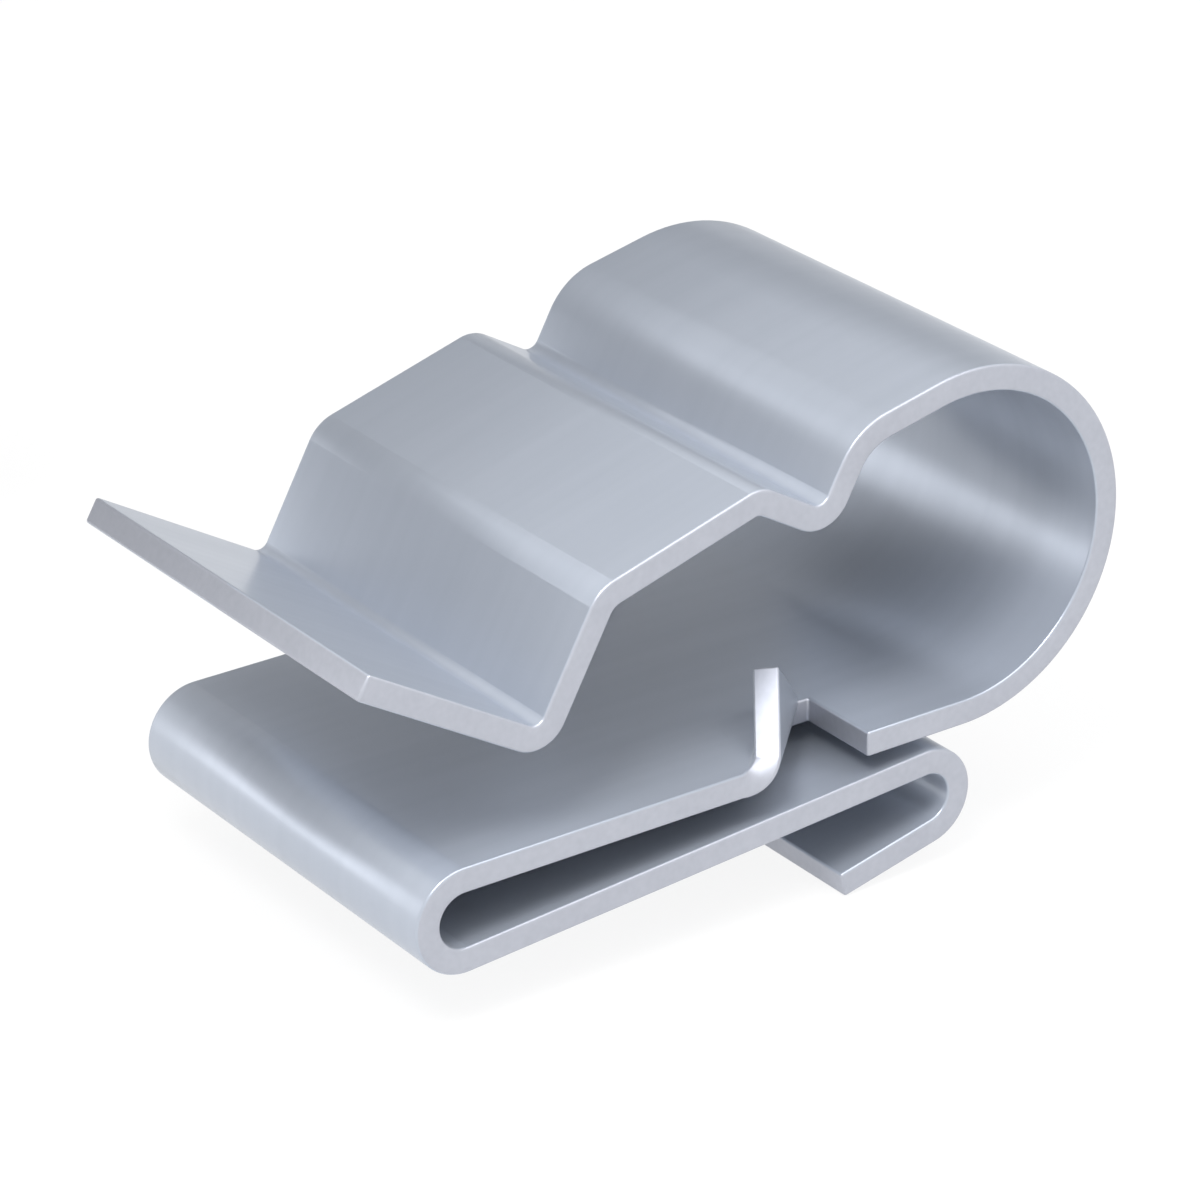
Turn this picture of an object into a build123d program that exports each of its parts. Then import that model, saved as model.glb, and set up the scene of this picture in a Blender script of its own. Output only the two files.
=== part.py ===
from build123d import *

import math
import os

# Spring cable clip for two cables, folded in one piece from a strip of spring steel.
# It pushes onto the flange of a panel frame and holds a cable in its round loop
# and a second cable in the space under its sloping roof.
# The frame's origin is where the flange's edge stops: at the closed end of the slot,
# on the underside of the seat, in the middle of the strip's width.
# +X runs from the closed end of the slot to its mouth, +Z up through the seat.
# Sizes are in millimetres, angles in degrees.

# Strip
SHEET = 0.7
STRIP_WIDTH = 12.7

# Slot for the flange: seat above, gripping leaf below, hairpin fold at the closed end
SEAT_LENGTH = 15.45
SLOT_GAP = 1.5
GRIP_LENGTH = 14.2
GRIP_ANGLE = 4.3

# Hook: the leaf's free end, folded back under it
HOOK_GAP = 1.35
HOOK_ANGLE = 13.0
HOOK_LENGTH = 3.05

# Round cable loop at the mouth end of the seat
LOOP_BORE = 8.5
LOOP_TOP_ANGLE = 12.7
LOOP_TOP_LENGTH = 1.7
KNEE_RADIUS = 1.35

# Waist between the loop and the roof
FLANK_ANGLE = 61.0
FLANK_LENGTH = 0.87
WAIST_RADIUS = 0.35
RISE_ANGLE = 30.0
RISE_LENGTH = 1.4

# Roof over the second cable, closed by a slope
RIDGE_RADIUS = 0.27
ROOF_ANGLE = 16.3
ROOF_LENGTH = 4.2
EAVE_RADIUS = 0.5
SLOPE_ANGLE = 61.0
SLOPE_LENGTH = 2.85

# Mouth and the flared lip that leads a cable into it
MOUTH_RADIUS = 0.3
LIP_ANGLE = 30.5
LIP_LENGTH = 5.25

# Lug in each edge of the seat, between the two cables: the corner beside a slit, folded up on a diagonal line
LUG_PLACE = 9.12
LUG_LEG = 3.5
LUG_LINE_ANGLE = 45.0
LUG_FOLD_ANGLE = 100.0
LUG_BEND_RADIUS = 0.12
SLIT_WIDTH = 0.44
SLIT_RELIEF = 0.15
SLIT_OVERCUT = 0.25
BEND_SECTIONS = 7


class StripEdge:
    """The strip seen on its cut edge, with both of its faces drawn as it runs and bends."""

    def __init__(self, x, z, heading):
        self.x = x
        self.z = z
        self.heading = heading
        self.left_face = []
        self.right_face = []

    def sides(self):
        """Points on the strip's left and right faces at its present place."""
        angle = math.radians(self.heading)
        across_x = -math.sin(angle) * SHEET / 2
        across_z = math.cos(angle) * SHEET / 2
        left = (self.x + across_x, self.z + across_z)
        right = (self.x - across_x, self.z - across_z)
        return left, right

    def run(self, length):
        """Go straight on."""
        left, right = self.sides()
        self.x += length * math.cos(math.radians(self.heading))
        self.z += length * math.sin(math.radians(self.heading))
        next_left, next_right = self.sides()
        self.left_face.append(Line(left, next_left))
        self.right_face.append(Line(right, next_right))

    def bend(self, turn, inside_radius):
        """Bend by an angle, to the left if it is positive, about a radius on the inside face."""
        side = math.copysign(1.0, turn)
        middle = inside_radius + SHEET / 2
        outside = inside_radius + SHEET
        angle = math.radians(self.heading)
        centre_x = self.x - side * middle * math.sin(angle)
        centre_z = self.z + side * middle * math.cos(angle)
        start = self.heading - side * 90.0
        inner = CenterArc((centre_x, centre_z), inside_radius, start, turn)
        outer = CenterArc((centre_x, centre_z), outside, start, turn)
        self.left_face.append(inner if side > 0 else outer)
        self.right_face.append(outer if side > 0 else inner)
        self.heading += turn
        angle = math.radians(self.heading)
        self.x = centre_x + side * middle * math.sin(angle)
        self.z = centre_z - side * middle * math.cos(angle)

    def end_cut(self):
        """The square cut across the strip where it has got to."""
        return Line(self.left_face[-1] @ 1, self.right_face[-1] @ 1)


def draw_slot_and_hook():
    """The seat from the loop back to the fold, the gripping leaf and the hook."""
    strip = StripEdge(SLOT_GAP / 2 + SEAT_LENGTH, SHEET / 2, 180.0)
    strip.run(SEAT_LENGTH)
    strip.bend(180.0 + GRIP_ANGLE, SLOT_GAP / 2)
    strip.run(GRIP_LENGTH)
    strip.bend(HOOK_ANGLE - GRIP_ANGLE - 180.0, HOOK_GAP / 2)
    strip.run(HOOK_LENGTH)
    return strip


def draw_loop_and_roof():
    """The strip from the seat up round the loop, over the waist and roof, and out along the lip."""
    strip = StripEdge(SLOT_GAP / 2 + SEAT_LENGTH, SHEET / 2, 0.0)
    strip.bend(180.0 + LOOP_TOP_ANGLE, LOOP_BORE / 2)
    strip.run(LOOP_TOP_LENGTH)
    strip.bend(FLANK_ANGLE - LOOP_TOP_ANGLE, KNEE_RADIUS)
    strip.run(FLANK_LENGTH)
    strip.bend(-FLANK_ANGLE - RISE_ANGLE, WAIST_RADIUS)
    strip.run(RISE_LENGTH)
    strip.bend(RISE_ANGLE + ROOF_ANGLE, RIDGE_RADIUS)
    strip.run(ROOF_LENGTH)
    strip.bend(SLOPE_ANGLE - ROOF_ANGLE, EAVE_RADIUS)
    strip.run(SLOPE_LENGTH)
    strip.bend(-SLOPE_ANGLE - LIP_ANGLE, MOUTH_RADIUS)
    strip.run(LIP_LENGTH)
    return strip


def folded_strip():
    """The whole strip at full width, with no slits yet."""
    lower = draw_slot_and_hook()
    upper = draw_loop_and_roof()
    edges = upper.left_face + upper.right_face + lower.left_face + lower.right_face
    outline = Wire(edges + [upper.end_cut(), lower.end_cut()])
    return extrude(Plane.XZ * Face(outline), STRIP_WIDTH / 2, both=True)


class CornerLug:
    """The lug at the seat's front edge. Its places are along the fold line from the strip's edge, and away from it."""

    def __init__(self):
        self.line = math.radians(LUG_LINE_ANGLE)
        self.fold = math.radians(LUG_FOLD_ANGLE)
        self.bend_length = self.fold * (LUG_BEND_RADIUS + SHEET / 2)
        self.slit_place = LUG_PLACE + LUG_LEG + SLIT_WIDTH
        self.reach = LUG_LEG * math.tan(self.line) - self.bend_length / math.cos(self.line)
        self.slit_depth = self.reach + SLIT_RELIEF

    def point(self, along, away, height):
        """The frame's point for a place along the fold line, away from it and up."""
        x = LUG_PLACE + along * math.cos(self.line) + away * math.sin(self.line)
        y = along * math.sin(self.line) - away * math.cos(self.line) - STRIP_WIDTH / 2
        return (x, y, height)

    def bent_point(self, along, used, turned, radius):
        """A point of the folded corner at a radius of the bend, with some of the flat used after the bend."""
        away = radius * math.sin(turned) + used * math.cos(turned)
        height = SHEET + LUG_BEND_RADIUS - radius * math.cos(turned) + used * math.sin(turned)
        return self.point(along, away, height)

    def bend_section(self, turned):
        """The bend's section at an angle, from the strip's edge to the corner's far side."""
        flat = turned * (LUG_BEND_RADIUS + SHEET / 2)
        near = flat / math.tan(self.line)
        far = (self.reach + flat * math.cos(self.line)) / math.sin(self.line)
        outside = LUG_BEND_RADIUS + SHEET
        corners = [
            self.bent_point(near, 0.0, turned, LUG_BEND_RADIUS),
            self.bent_point(far, 0.0, turned, LUG_BEND_RADIUS),
            self.bent_point(far, 0.0, turned, outside),
            self.bent_point(near, 0.0, turned, outside),
        ]
        return Face(Wire.make_polygon(corners))

    def bend(self):
        """The bend along the fold line, which gets longer as the corner's edges run out."""
        turns = [self.fold * step / (BEND_SECTIONS - 1) for step in range(BEND_SECTIONS)]
        return loft([self.bend_section(turned) for turned in turns])

    def flap(self):
        """The flat part of the corner, a triangle that stands on the end of the bend."""
        near = self.bend_length / math.tan(self.line)
        far = (self.reach + self.bend_length * math.cos(self.line)) / math.sin(self.line)
        tip = LUG_LEG * math.cos(self.line)
        rise = LUG_LEG * math.sin(self.line) - self.bend_length
        faces = []
        for radius in (LUG_BEND_RADIUS, LUG_BEND_RADIUS + SHEET):
            corners = [
                self.bent_point(near, 0.0, self.fold, radius),
                self.bent_point(far, 0.0, self.fold, radius),
                self.bent_point(tip, rise, self.fold, radius),
            ]
            faces.append(Face(Wire.make_polygon(corners)))
        return loft(faces)

    def opening(self):
        """What leaves the seat: the slit, and the corner that is folded up."""
        y_edge = -STRIP_WIDTH / 2 - SLIT_OVERCUT
        y_end = -STRIP_WIDTH / 2 + self.slit_depth
        before = self.point(-SLIT_OVERCUT / math.sin(self.line), 0.0, 0.0)
        fold_end = self.point(self.slit_depth / math.sin(self.line), 0.0, 0.0)
        outline = Wire.make_polygon([before, (self.slit_place, y_edge), (self.slit_place, y_end), fold_end])
        return extrude(Pos(0, 0, -SLIT_OVERCUT) * Face(outline), SHEET + 2 * SLIT_OVERCUT, dir=(0, 0, 1))


lug = CornerLug()
opening = lug.opening()
clip = folded_strip() - opening - mirror(opening, about=Plane.XZ)
for piece in (lug.bend(), lug.flap()):
    clip = clip + piece + mirror(piece, about=Plane.XZ)

os.makedirs("parts", exist_ok=True)
export_step(clip.solid(), "parts/spring_clip.step")
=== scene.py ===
"""Looks of a spring cable clip that is folded in one piece from a strip of spring steel."""

import logging
import math
from dataclasses import dataclass, field
from enum import Enum
from typing import Any

import bmesh
import bpy
from mathutils import Matrix, Vector


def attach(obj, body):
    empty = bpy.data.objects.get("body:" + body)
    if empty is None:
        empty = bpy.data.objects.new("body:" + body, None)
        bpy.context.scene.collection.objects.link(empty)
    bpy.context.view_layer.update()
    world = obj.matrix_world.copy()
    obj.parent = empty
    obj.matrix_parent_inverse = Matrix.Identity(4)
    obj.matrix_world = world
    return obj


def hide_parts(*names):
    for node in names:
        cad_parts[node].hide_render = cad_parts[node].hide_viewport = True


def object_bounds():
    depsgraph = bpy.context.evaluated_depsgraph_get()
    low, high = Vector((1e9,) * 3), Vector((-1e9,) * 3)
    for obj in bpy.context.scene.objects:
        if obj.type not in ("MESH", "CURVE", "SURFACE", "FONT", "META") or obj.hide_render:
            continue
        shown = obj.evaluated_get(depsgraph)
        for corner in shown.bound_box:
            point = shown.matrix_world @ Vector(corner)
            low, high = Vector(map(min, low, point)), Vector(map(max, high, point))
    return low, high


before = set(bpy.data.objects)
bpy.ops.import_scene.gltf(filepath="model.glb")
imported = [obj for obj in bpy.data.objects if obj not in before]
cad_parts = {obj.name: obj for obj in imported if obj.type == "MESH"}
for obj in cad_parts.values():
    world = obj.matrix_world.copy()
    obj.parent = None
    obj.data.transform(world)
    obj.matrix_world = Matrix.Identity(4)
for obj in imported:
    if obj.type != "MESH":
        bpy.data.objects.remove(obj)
CAD_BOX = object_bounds()

MM = 0.001
HALF_TURN = 180.0
MEAN_TONE = 0.5
LOG = logging.getLogger("cable_clip")

Triple = tuple[float, float, float]
Colour = tuple[float, float, float]


class Value:
    """A shader socket that carries a number, for use in plain arithmetic."""

    def __init__(self, sheet: "NodeSheet", socket: bpy.types.NodeSocket) -> None:
        """Wrap one output socket of a sheet's node."""
        self.sheet = sheet
        self.socket = socket

    def _sum(self, operation: str, first: Any, second: Any) -> "Value":
        """Add a Math node.

        Args:
            operation: the Math node's operation.
            first: a number or a Value.
            second: a number or a Value.

        Returns:
            The Math node's result.
        """
        return self.sheet.node("ShaderNodeMath", {"operation": operation}, {0: first, 1: second})

    def __add__(self, other: Any) -> "Value":
        """This value plus another."""
        return self._sum("ADD", self, other)

    def __radd__(self, other: Any) -> "Value":
        """Another number plus this value."""
        return self._sum("ADD", other, self)

    def __sub__(self, other: Any) -> "Value":
        """This value less another."""
        return self._sum("SUBTRACT", self, other)

    def __rsub__(self, other: Any) -> "Value":
        """Another number less this value."""
        return self._sum("SUBTRACT", other, self)

    def __mul__(self, other: Any) -> "Value":
        """This value times another."""
        return self._sum("MULTIPLY", self, other)

    def __rmul__(self, other: Any) -> "Value":
        """Another number times this value."""
        return self._sum("MULTIPLY", other, self)


@dataclass(frozen=True)
class Grain:
    """A noise pattern: grains in a metre along X, Y and Z, its finer layers and their strength."""

    fineness: Triple
    detail: float
    roughness: float


class NodeSheet:
    """An empty node tree that is filled one node at a time."""

    def __init__(self, tree: bpy.types.NodeTree) -> None:
        """Clear the tree and keep it."""
        tree.nodes.clear()
        self.tree = tree

    def node(self, kind: str, settings: dict[str, Any] | None = None,
             sockets: dict[int | str, Any] | None = None, output: int | str = 0) -> Value | None:
        """Make a node, set it up, then fill its sockets.

        Args:
            kind: the node's type.
            settings: the node's own settings.
            sockets: numbers, colours or Values for its inputs, by name or number.
            output: which of its outputs is wanted.

        Returns:
            The wanted output, or None for a node that has none.
        """
        node = self.tree.nodes.new(kind)
        for name, setting in (settings or {}).items():
            setattr(node, name, setting)
        for name, value in (sockets or {}).items():
            if isinstance(value, Value):
                self.tree.links.new(value.socket, node.inputs[name])
            else:
                node.inputs[name].default_value = value
        return Value(self, node.outputs[output]) if len(node.outputs) else None

    def grain(self, pattern: Grain) -> Value:
        """Lay a noise pattern on the piece's own coordinates.

        Args:
            pattern: the noise.

        Returns:
            A value around one half.
        """
        place = self.node("ShaderNodeTexCoord", output="Object")
        scaled = self.node("ShaderNodeVectorMath", {"operation": "MULTIPLY"}, {0: place, 1: pattern.fineness})
        sockets = {"Vector": scaled, "Scale": 1.0, "Detail": pattern.detail, "Roughness": pattern.roughness}
        return self.node("ShaderNodeTexNoise", None, sockets)

    def blend(self, amount: Value, first: Colour, second: Colour) -> Value:
        """Mix two colours.

        Args:
            amount: 0 for the first colour, 1 for the second.
            first: linear red, green and blue.
            second: linear red, green and blue.

        Returns:
            The mixed colour.
        """
        sockets = {0: amount, 6: (*first, 1.0), 7: (*second, 1.0)}
        return self.node("ShaderNodeMix", {"data_type": "RGBA"}, sockets, 2)

    def seen_directly(self) -> Value:
        """Near 1 where the eye, a gloss or a glass looks at the surface, 0 where light only bounces."""
        camera = self.node("ShaderNodeLightPath", output="Is Camera Ray")
        glossy = self.node("ShaderNodeLightPath", output="Is Glossy Ray")
        through = self.node("ShaderNodeLightPath", output="Is Transmission Ray")
        return camera + glossy + through


@dataclass(frozen=True)
class RolledFinish:
    """Satin face of cold-rolled spring strip: faint drawn grain along the strip, soft clouding."""

    name: str = "rolled_spring_steel"
    light: Colour = (0.453, 0.490, 0.560)
    dark: Colour = (0.377, 0.413, 0.477)
    metallic: float = 0.5
    roughness: float = 0.30
    roughness_spread: float = 0.06
    streak: Grain = Grain((110.0, 2400.0, 110.0), 1.0, 0.5)
    streak_share: float = 0.4
    band: Grain = Grain((60.0, 700.0, 60.0), 1.0, 0.5)
    band_share: float = 0.3
    cloud: Grain = Grain((230.0, 230.0, 230.0), 3.0, 0.55)
    cloud_share: float = 0.3

    def material(self) -> bpy.types.Material:
        """Make the finish.

        Returns:
            A material for the strip's rolled faces.
        """
        material = bpy.data.materials.new(self.name)
        material.use_nodes = True
        sheet = NodeSheet(material.node_tree)
        streak = self.streak_share * sheet.grain(self.streak)
        band = self.band_share * sheet.grain(self.band)
        cloud = self.cloud_share * sheet.grain(self.cloud)
        tone = streak + band + cloud
        colour = sheet.blend(tone, self.light, self.dark)
        roughness = self.roughness + self.roughness_spread * (tone - MEAN_TONE)
        looks = {"Base Color": colour, "Metallic": self.metallic, "Roughness": roughness}
        shader = sheet.node("ShaderNodeBsdfPrincipled", None, looks)
        sheet.node("ShaderNodeOutputMaterial", None, {"Surface": shader})
        return material


@dataclass(frozen=True)
class ShearedFinish:
    """Cut edge of the strip: paler and more matt than its faces, with a fine tumbled grain."""

    name: str = "sheared_spring_steel"
    light: Colour = (0.495, 0.513, 0.571)
    dark: Colour = (0.395, 0.411, 0.465)
    metallic: float = 0.7
    roughness: float = 0.46
    roughness_spread: float = 0.12
    fleck: Grain = Grain((5000.0, 5000.0, 5000.0), 1.0, 0.5)
    cloud: Grain = Grain((700.0, 700.0, 700.0), 2.0, 0.5)
    fleck_share: float = 0.5
    fleck_height: float = 0.002 * MM
    fleck_strength: float = 0.5

    def material(self) -> bpy.types.Material:
        """Make the finish.

        Returns:
            A material for the strip's cut edges.
        """
        material = bpy.data.materials.new(self.name)
        material.use_nodes = True
        sheet = NodeSheet(material.node_tree)
        fleck = sheet.grain(self.fleck)
        tone = self.fleck_share * fleck + (1.0 - self.fleck_share) * sheet.grain(self.cloud)
        colour = sheet.blend(tone, self.light, self.dark)
        roughness = self.roughness + self.roughness_spread * (tone - MEAN_TONE)
        relief = {"Strength": self.fleck_strength, "Distance": self.fleck_height, "Height": fleck}
        bump = sheet.node("ShaderNodeBump", None, relief)
        looks = {"Base Color": colour, "Metallic": self.metallic, "Roughness": roughness, "Normal": bump}
        shader = sheet.node("ShaderNodeBsdfPrincipled", None, looks)
        sheet.node("ShaderNodeOutputMaterial", None, {"Surface": shader})
        return material


class Finish(Enum):
    """Which finish a face of the strip has, by its place in the strip's list of materials."""

    ROLLED = 0
    SHEARED = 1


@dataclass
class SheetEnd:
    """The end of a sheet without thickness, which a run or a bend carries on."""

    mesh: bmesh.types.BMesh
    edges: list[bmesh.types.BMEdge]
    x: float
    z: float
    heading: float
    thickness: float
    facet: float
    least_facets: int = 3

    def run(self, length: float) -> list[bmesh.types.BMFace]:
        """Go straight on.

        Args:
            length: how far, in metres.

        Returns:
            The faces of the new stretch.
        """
        along = Vector((math.cos(self.heading), 0.0, math.sin(self.heading))) * length
        made = bmesh.ops.extrude_edge_only(self.mesh, edges=self.edges)["geom"]
        verts = [item for item in made if isinstance(item, bmesh.types.BMVert)]
        bmesh.ops.translate(self.mesh, verts=verts, vec=along)
        edges = [item for item in made if isinstance(item, bmesh.types.BMEdge)]
        self.edges = [edge for edge in edges if all(vert in verts for vert in edge.verts)]
        self.x += along.x
        self.z += along.z
        return [item for item in made if isinstance(item, bmesh.types.BMFace)]

    def bend(self, degrees: float, inside_radius: float) -> None:
        """Bend the sheet about an axis along its width.

        Args:
            degrees: the angle, to the left of the way it goes if positive.
            inside_radius: the radius on the inside of the bend, in metres.
        """
        turn = math.radians(degrees)
        middle = math.copysign(inside_radius + self.thickness / 2, turn)
        centre_x = self.x - middle * math.sin(self.heading)
        centre_z = self.z + middle * math.cos(self.heading)
        steps = max(self.least_facets, math.ceil(abs(turn) / self.facet))
        ends = list({vert for edge in self.edges for vert in edge.verts})
        made = bmesh.ops.spin(self.mesh, geom=ends + self.edges, cent=(centre_x, 0.0, centre_z),
                              axis=(0.0, -1.0, 0.0), angle=turn, steps=steps, use_duplicate=False)
        self.edges = [item for item in made["geom_last"] if isinstance(item, bmesh.types.BMEdge)]
        self.heading += turn
        self.x = centre_x + middle * math.sin(self.heading)
        self.z = centre_z - middle * math.cos(self.heading)


@dataclass
class CornerLug:
    """The corner beside a slit in the seat's front edge, folded up on a diagonal line.

    Angles are in degrees.
    """

    place: float = 9.12 * MM
    leg: float = 3.5 * MM
    line_angle: float = 45.0
    fold_angle: float = 100.0
    bend_radius: float = 0.12 * MM
    slit_width: float = 0.44 * MM
    slit_relief: float = 0.15 * MM
    creases: int = 14
    cut_slack: float = 0.0001 * MM
    crease_slack: float = 0.0007 * MM

    @property
    def slit_place(self) -> float:
        """Where the slit's far wall is along the seat."""
        return self.place + self.leg + self.slit_width

    def form(self, mesh: bmesh.types.BMesh, plate: list[bmesh.types.BMFace], edge_y: float,
             height: float, thickness: float) -> None:
        """Cut the slit in a flat stretch of the seat and fold the corner up.

        Args:
            mesh: the sheet being formed.
            plate: the flat faces from the fold line's start to the slit's far wall.
            edge_y: where the strip's front edge is.
            height: the sheet's height.
            thickness: the strip's thickness.
        """
        line = math.radians(self.line_angle)
        fold = math.radians(self.fold_angle)
        bend_length = fold * (self.bend_radius + thickness / 2)
        reach = self.leg * math.tan(line) - bend_length / math.cos(line)
        start = Vector((self.place, edge_y, height))
        along = Vector((math.cos(line), math.sin(line), 0.0))
        away = Vector((math.sin(line), -math.cos(line), 0.0))
        corner_end = Vector((self.place + self.leg, edge_y + reach, height))
        slit_end = Vector((self.slit_place, edge_y + reach + self.slit_relief, height))
        faces = self._cut(mesh, plate, corner_end, Vector((1.0, 0.0, 0.0)))
        faces = self._cut(mesh, faces, slit_end, Vector((0.0, 1.0, 0.0)))
        front = [face for face in faces if face.calc_center_median().y < slit_end.y]
        slit = [face for face in front if face.calc_center_median().x > corner_end.x]
        bmesh.ops.delete(mesh, geom=slit, context="FACES")
        corner = self._cut(mesh, [face for face in front if face.is_valid], start, away)
        corner = [face for face in corner if (face.calc_center_median() - start).dot(away) > 0.0]
        corner = self._cut(mesh, corner, corner_end, Vector((0.0, 1.0, 0.0)))
        relief = [face for face in corner if face.calc_center_median().y > corner_end.y]
        bmesh.ops.delete(mesh, geom=relief, context="FACES")
        corner = [face for face in corner if face.is_valid]
        steps = [bend_length * (step + 0.5) / self.creases for step in range(self.creases)]
        for step in steps:
            corner = self._cut(mesh, corner, start + away * step, away)
        verts = {vert for face in corner for vert in face.verts}
        places = [((vert.co - start).dot(away), vert) for vert in verts]
        turn = Matrix.Rotation(fold / self.creases, 3, -along)
        for step in reversed(steps):
            beyond = [vert for place, vert in places if place > step + self.crease_slack]
            bmesh.ops.rotate(mesh, verts=beyond, cent=start + away * step, matrix=turn)

    def _cut(self, mesh: bmesh.types.BMesh, faces: list[bmesh.types.BMFace], place: Vector,
             normal: Vector) -> list[bmesh.types.BMFace]:
        """Divide faces along a plane.

        Args:
            mesh: the sheet being formed.
            faces: the faces to divide.
            place: a point on the plane.
            normal: the plane's normal.

        Returns:
            The faces on both sides.
        """
        parts = {*faces, *(edge for face in faces for edge in face.edges)}
        parts |= {vert for face in faces for vert in face.verts}
        cut = bmesh.ops.bisect_plane(mesh, geom=list(parts), dist=self.cut_slack,
                                     plane_co=place, plane_no=normal)
        return [item for item in cut["geom"] if isinstance(item, bmesh.types.BMFace)]


@dataclass
class SpringClip:
    """The clip: one strip with a hairpin slot, a round loop, a roof and a flared lip.

    Angles are in degrees, except the facet of a bend.
    """

    name: str = "folded_spring_strip"
    node: str = "spring_clip"
    slot: str = "spring_steel"
    thickness: float = 0.7 * MM
    width: float = 12.7 * MM
    seat_length: float = 15.45 * MM
    slot_gap: float = 1.5 * MM
    grip_length: float = 14.2 * MM
    grip_angle: float = 4.3
    hook_gap: float = 1.35 * MM
    hook_angle: float = 13.0
    hook_length: float = 3.05 * MM
    loop_bore: float = 8.5 * MM
    loop_top_angle: float = 12.7
    loop_top_length: float = 1.7 * MM
    knee_radius: float = 1.35 * MM
    flank_angle: float = 61.0
    flank_length: float = 0.87 * MM
    waist_radius: float = 0.35 * MM
    rise_angle: float = 30.0
    rise_length: float = 1.4 * MM
    ridge_radius: float = 0.27 * MM
    roof_angle: float = 16.3
    roof_length: float = 4.2 * MM
    eave_radius: float = 0.5 * MM
    slope_angle: float = 61.0
    slope_length: float = 2.85 * MM
    mouth_radius: float = 0.3 * MM
    lip_angle: float = 30.5
    lip_length: float = 5.25 * MM
    edge_break: float = 0.08 * MM
    edge_segments: int = 3
    edge_profile: float = 0.5
    edge_angle: float = 40.0
    shading_weight: int = 80
    facet: float = math.radians(3.0)
    weld: float = 0.0005 * MM
    lug: CornerLug = field(default_factory=CornerLug)
    rolled: RolledFinish = field(default_factory=RolledFinish)
    sheared: ShearedFinish = field(default_factory=ShearedFinish)

    def build(self) -> bpy.types.Object:
        """Fold the front half of the strip as a sheet, mirror it and give it its thickness.

        Returns:
            The strip's object, with its place in its mesh.
        """
        mesh = bmesh.new()
        places = ((self.lug.place, -self.width / 2), (self.lug.place, 0.0))
        ends = [mesh.verts.new((x, y, self.thickness / 2)) for x, y in places]
        across = mesh.edges.new(ends)
        self._form_slot_and_hook(mesh, across)
        self._form_loop_and_roof(mesh, across)
        whole = [*mesh.verts, *mesh.edges, *mesh.faces]
        bmesh.ops.mirror(mesh, geom=whole, axis="Y", merge_dist=self.weld)
        bmesh.ops.remove_doubles(mesh, verts=mesh.verts, dist=self.weld)
        bmesh.ops.recalc_face_normals(mesh, faces=mesh.faces)
        data = bpy.data.meshes.new(self.name)
        mesh.to_mesh(data)
        mesh.free()
        data.shade_smooth()
        clip = bpy.data.objects.new(self.name, data)
        bpy.context.scene.collection.objects.link(clip)
        self._thicken(clip)
        return clip

    def dress(self, clip: bpy.types.Object) -> None:
        """Give the strip its two finishes and its place in the frame.

        Args:
            clip: the strip's object.
        """
        finishes = {Finish.ROLLED: self.rolled, Finish.SHEARED: self.sheared}
        for place in Finish:
            clip.data.materials.append(finishes[place].material())
        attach(clip, "root")
        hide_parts(self.node)

    def _end(self, mesh: bmesh.types.BMesh, across: bmesh.types.BMEdge, heading: float) -> SheetEnd:
        """Take up the edge across the seat to form more of the sheet from it.

        Args:
            mesh: the sheet being formed.
            across: the edge across the seat where the lug begins.
            heading: the way to go, in degrees from +X towards +Z.

        Returns:
            The sheet's end.
        """
        return SheetEnd(mesh, [across], self.lug.place, self.thickness / 2, math.radians(heading),
                        self.thickness, self.facet)

    def _form_slot_and_hook(self, mesh: bmesh.types.BMesh, across: bmesh.types.BMEdge) -> None:
        """Carry the seat back to the hairpin fold, and the gripping leaf on to its hook.

        Args:
            mesh: the sheet being formed.
            across: the edge across the seat where the lug begins.
        """
        end = self._end(mesh, across, HALF_TURN)
        end.run(self.lug.place - self.slot_gap / 2)
        end.bend(HALF_TURN + self.grip_angle, self.slot_gap / 2)
        end.run(self.grip_length)
        end.bend(self.hook_angle - self.grip_angle - HALF_TURN, self.hook_gap / 2)
        end.run(self.hook_length)

    def _form_loop_and_roof(self, mesh: bmesh.types.BMesh, across: bmesh.types.BMEdge) -> None:
        """Carry the seat on past the lug, round the loop, over the waist and roof, and out along the lip.

        Args:
            mesh: the sheet being formed.
            across: the edge across the seat where the lug begins.
        """
        end = self._end(mesh, across, 0.0)
        plate = end.run(self.lug.slit_place - self.lug.place)
        end.run(self.slot_gap / 2 + self.seat_length - self.lug.slit_place)
        end.bend(HALF_TURN + self.loop_top_angle, self.loop_bore / 2)
        end.run(self.loop_top_length)
        end.bend(self.flank_angle - self.loop_top_angle, self.knee_radius)
        end.run(self.flank_length)
        end.bend(-self.flank_angle - self.rise_angle, self.waist_radius)
        end.run(self.rise_length)
        end.bend(self.rise_angle + self.roof_angle, self.ridge_radius)
        end.run(self.roof_length)
        end.bend(self.slope_angle - self.roof_angle, self.eave_radius)
        end.run(self.slope_length)
        end.bend(-self.slope_angle - self.lip_angle, self.mouth_radius)
        end.run(self.lip_length)
        self.lug.form(mesh, plate, -self.width / 2, self.thickness / 2, self.thickness)

    def _thicken(self, clip: bpy.types.Object) -> None:
        """Give the sheet its thickness and sheared rim, and round its sharp edges a little.

        Args:
            clip: the strip's object.
        """
        wall = clip.modifiers.new("strip_thickness", "SOLIDIFY")
        wall.thickness = self.thickness
        wall.offset = 0.0
        wall.use_even_offset = True
        wall.use_quality_normals = True
        wall.material_offset_rim = Finish.SHEARED.value
        rounding = clip.modifiers.new("edge_break", "BEVEL")
        rounding.width = self.edge_break
        rounding.segments = self.edge_segments
        rounding.profile = self.edge_profile
        rounding.limit_method = "ANGLE"
        rounding.angle_limit = math.radians(self.edge_angle)
        rounding.use_clamp_overlap = False
        shading = clip.modifiers.new("even_shading", "WEIGHTED_NORMAL")
        shading.weight = self.shading_weight


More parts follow.
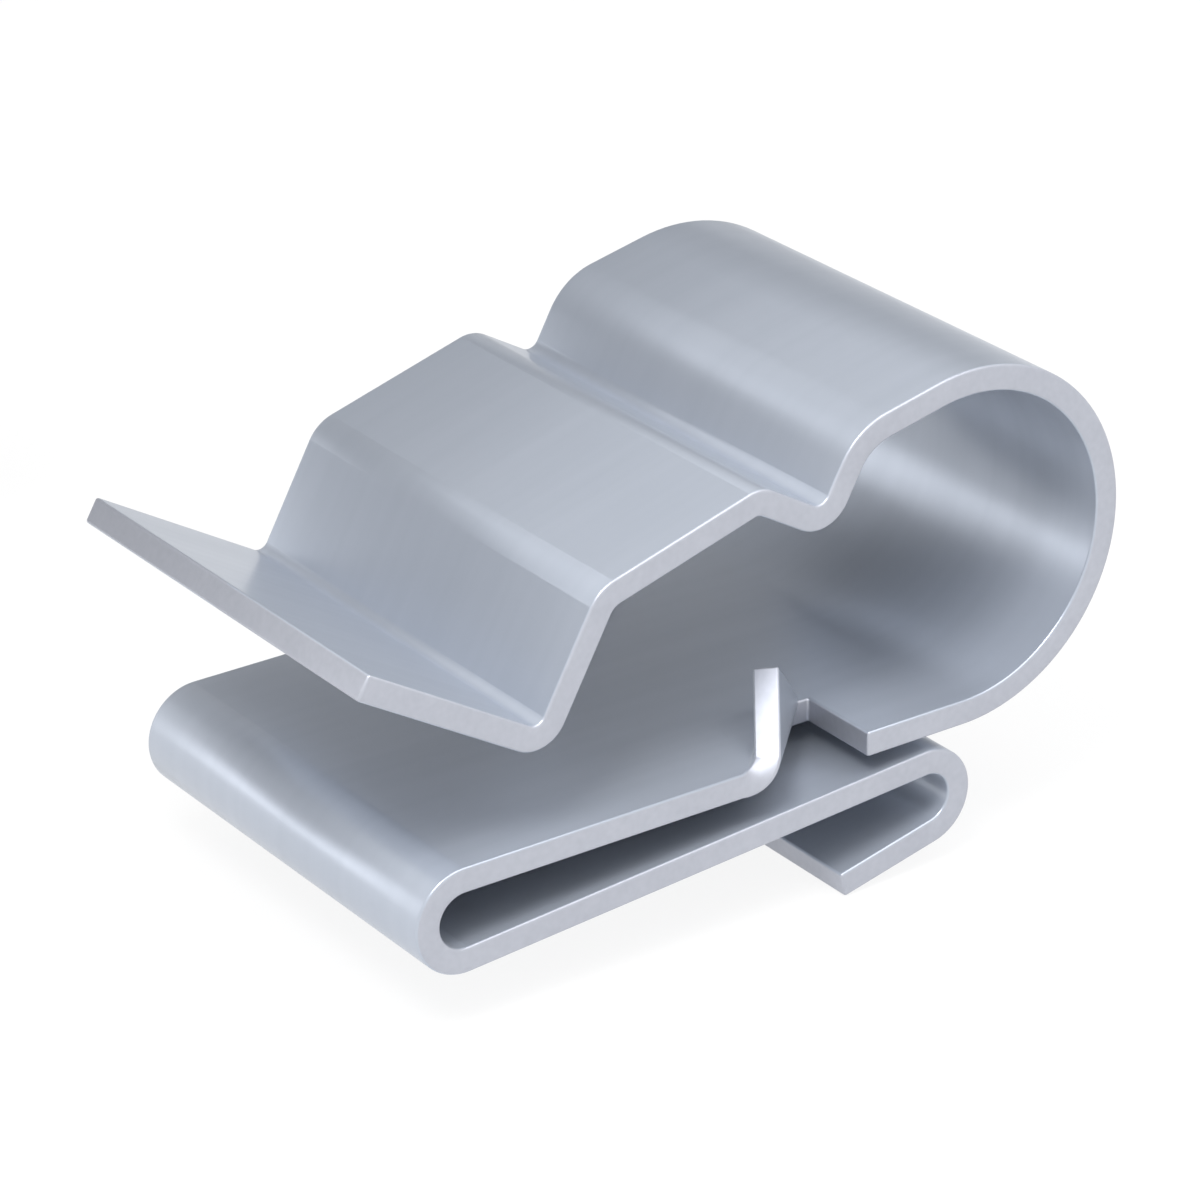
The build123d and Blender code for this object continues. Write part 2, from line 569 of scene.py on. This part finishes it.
@dataclass(frozen=True)
class MirrorCard:
    """A grey card behind the clip for its steel to mirror, hidden from the camera.

    Its lean is in degrees.
    """

    name: str
    place: Triple
    size: tuple[float, float]
    lean: float
    grey: float

    def build(self) -> None:
        """Hang the card, with its right end turned up by its lean."""
        mesh = bmesh.new()
        verts = bmesh.ops.create_grid(mesh, x_segments=1, y_segments=1, size=0.5)["verts"]
        bmesh.ops.scale(mesh, verts=verts, vec=(*self.size, 1.0))
        turn = Matrix.Rotation(math.radians(-self.lean), 3, "Y") @ Matrix.Rotation(math.pi / 2, 3, "X")
        bmesh.ops.rotate(mesh, verts=verts, cent=(0.0, 0.0, 0.0), matrix=turn)
        bmesh.ops.translate(mesh, verts=verts, vec=self.place)
        data = bpy.data.meshes.new(self.name)
        mesh.to_mesh(data)
        mesh.free()
        card = bpy.data.objects.new(self.name, data)
        card.visible_camera = False
        bpy.context.scene.collection.objects.link(card)
        material = bpy.data.materials.new(self.name)
        material.use_nodes = True
        sheet = NodeSheet(material.node_tree)
        shade = (self.grey, self.grey, self.grey, 1.0)
        paper = sheet.node("ShaderNodeBsdfDiffuse", None, {"Color": shade})
        sheet.node("ShaderNodeOutputMaterial", None, {"Surface": paper})
        data.materials.append(material)


@dataclass(frozen=True)
class SoftLamp:
    """A square soft lamp: where it hangs, the length of its side and its power in watts."""

    name: str
    place: Triple
    size: float
    power: float

    def build(self, aim: Triple) -> None:
        """Hang the lamp.

        Args:
            aim: the place that it points at.
        """
        lamp = bpy.data.lights.new(self.name, "AREA")
        lamp.size = self.size
        lamp.energy = self.power
        way = Vector(aim) - Vector(self.place)
        holder = bpy.data.objects.new(self.name, lamp)
        holder.location = self.place
        holder.rotation_euler = way.to_track_quat("-Z", "Y").to_euler()
        bpy.context.scene.collection.objects.link(holder)


@dataclass
class Studio:
    """White floor and surround, three soft lamps, and cards behind the clip for its steel to mirror."""

    floor_size: float = 600.0 * MM
    floor_clearance: float = 0.02 * MM
    floor_white: float = 0.95
    shadow_share: float = 0.12
    bounce: float = 0.95
    aim: Triple = (9.2 * MM, 0.0, 3.0 * MM)
    lamps: tuple[SoftLamp, ...] = (
        SoftLamp("overhead_softbox", place=(26.0 * MM, -34.0 * MM, 80.0 * MM), size=60.0 * MM, power=0.030),
        SoftLamp("key_softbox", place=(-58.0 * MM, -45.0 * MM, 129.0 * MM), size=50.0 * MM, power=0.135),
        SoftLamp("back_softbox", place=(-94.0 * MM, 105.0 * MM, 24.0 * MM), size=60.0 * MM, power=0.025),
    )
    cards: tuple[MirrorCard, ...] = (
        MirrorCard("back_card", place=(66.0 * MM, 90.0 * MM, 56.0 * MM),
                   size=(160.0 * MM, 118.0 * MM), lean=0.0, grey=0.42),
        MirrorCard("side_card", place=(-12.0 * MM, 20.0 * MM, 13.7 * MM),
                   size=(28.0 * MM, 16.0 * MM), lean=25.0, grey=0.12),
        MirrorCard("near_card", place=(19.0 * MM, 13.0 * MM, 15.4 * MM),
                   size=(36.0 * MM, 7.6 * MM), lean=9.0, grey=0.04),
    )

    def build(self) -> None:
        """Set up the surround, the floor, the cards and the lamps."""
        self._surround()
        self._floor()
        for card in self.cards:
            card.build()
        for lamp in self.lamps:
            lamp.build(self.aim)
        bpy.context.scene.view_settings.view_transform = "Standard"

    def _surround(self) -> None:
        """Make the world: white where it is seen, softer where it only lights."""
        world = bpy.data.worlds.new("white_surround")
        world.use_nodes = True
        bpy.context.scene.world = world
        sheet = NodeSheet(world.node_tree)
        level = self.bounce + (1.0 - self.bounce) * sheet.seen_directly()
        light = {"Color": (1.0, 1.0, 1.0, 1.0), "Strength": level}
        white = sheet.node("ShaderNodeBackground", None, light)
        sheet.node("ShaderNodeOutputWorld", None, {"Surface": white})

    def _floor(self) -> None:
        """Lay the floor just under the clip."""
        mesh = bmesh.new()
        half = self.floor_size / 2
        verts = bmesh.ops.create_grid(mesh, x_segments=1, y_segments=1, size=half)["verts"]
        level = CAD_BOX[0][2] - self.floor_clearance
        bmesh.ops.translate(mesh, verts=verts, vec=(0.0, 0.0, level))
        data = bpy.data.meshes.new("studio_floor")
        mesh.to_mesh(data)
        mesh.free()
        floor = bpy.data.objects.new("studio_floor", data)
        bpy.context.scene.collection.objects.link(floor)
        material = bpy.data.materials.new("white_floor")
        material.use_nodes = True
        sheet = NodeSheet(material.node_tree)
        shade = (self.floor_white, self.floor_white, self.floor_white, 1.0)
        paper = sheet.node("ShaderNodeBsdfDiffuse", None, {"Color": shade})
        white = sheet.node("ShaderNodeEmission", None, {"Strength": 1.0})
        share = (1.0 - self.shadow_share) * sheet.seen_directly()
        both = sheet.node("ShaderNodeMixShader", None, {0: share, 1: paper, 2: white})
        sheet.node("ShaderNodeOutputMaterial", None, {"Surface": both})
        data.materials.append(material)


@dataclass
class Viewpoint:
    """The photograph's camera, in front of the clip, to its left and above. Angles are in degrees."""

    azimuth: float = -35.14
    elevation: float = 25.12
    roll: float = -0.397
    distance: float = 125.99 * MM
    target: Triple = (9.230 * MM, 0.0, 3.076 * MM)
    lens: float = 146.9
    sensor: float = 36.0
    near: float = 10.0 * MM

    def build(self) -> None:
        """Make the camera and have the scene use it."""
        azimuth = math.radians(self.azimuth)
        elevation = math.radians(self.elevation)
        back = Vector((math.sin(azimuth) * math.cos(elevation),
                       -math.cos(azimuth) * math.cos(elevation),
                       math.sin(elevation)))
        turn = (-back).to_track_quat("-Z", "Y").to_matrix().to_4x4()
        place = Matrix.Translation(Vector(self.target) + back * self.distance)
        data = bpy.data.cameras.new("photo_camera")
        data.sensor_width = self.sensor
        data.lens = self.lens
        data.clip_start = self.near
        camera = bpy.data.objects.new("photo_camera", data)
        camera.matrix_world = place @ turn @ Matrix.Rotation(math.radians(self.roll), 4, "Z")
        bpy.context.scene.collection.objects.link(camera)
        bpy.context.scene.camera = camera


def main() -> None:
    """Build the clip, the studio and the camera."""
    logging.basicConfig(level=logging.INFO)
    clip = SpringClip()
    strip = clip.build()
    clip.dress(strip)
    LOG.info("%s: %d faces", strip.name, len(strip.data.polygons))
    studio = Studio()
    studio.build()
    LOG.info("studio: %d lamps, %d cards", len(studio.lamps), len(studio.cards))
    Viewpoint().build()


if __name__ == "__main__":
    main()
